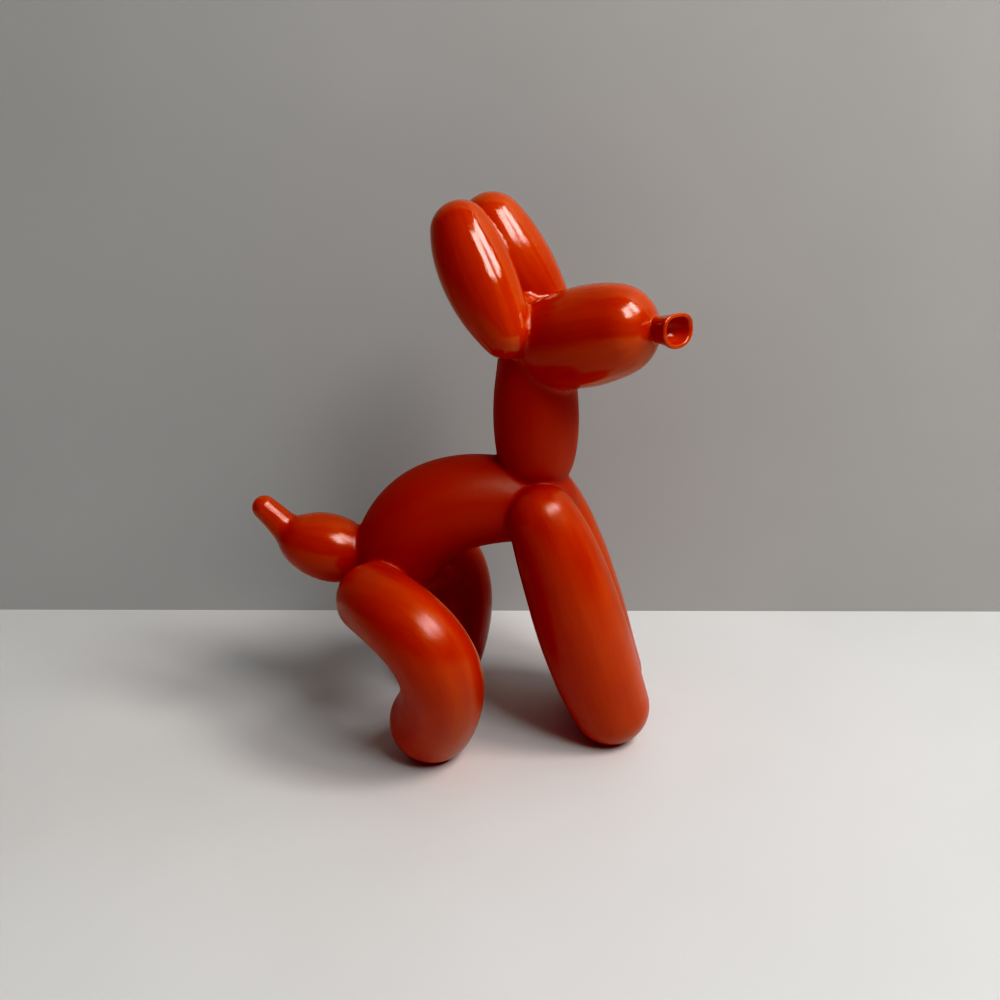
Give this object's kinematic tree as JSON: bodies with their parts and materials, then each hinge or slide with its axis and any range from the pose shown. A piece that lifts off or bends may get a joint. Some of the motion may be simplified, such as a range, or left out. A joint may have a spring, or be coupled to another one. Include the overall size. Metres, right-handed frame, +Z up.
{
  "type": "balloon poodle figurine",
  "caption": "Glossy cast figurine of a twisted-balloon poodle squatting on its four legs, head turned aside, with balloon ears, knotted tail and an open nozzle for a nose.",
  "frame": {"origin": "centre of the figure's bounding box, on the plane that its four soles stand on", "axes": "+Z up; +X the way the body faces; +Y the figure's left side. The head is turned about 28 degrees to its right, towards -Y"},
  "size_m": [0.0921, 0.066, 0.1195],
  "materials": {
    "orange_enamel": "gloss enamel over cast resin, slightly uneven hand-finished coat"
  },
  "bodies": {
    "root": {"balloon_poodle": "orange_enamel"}
  },
  "joints": []
}
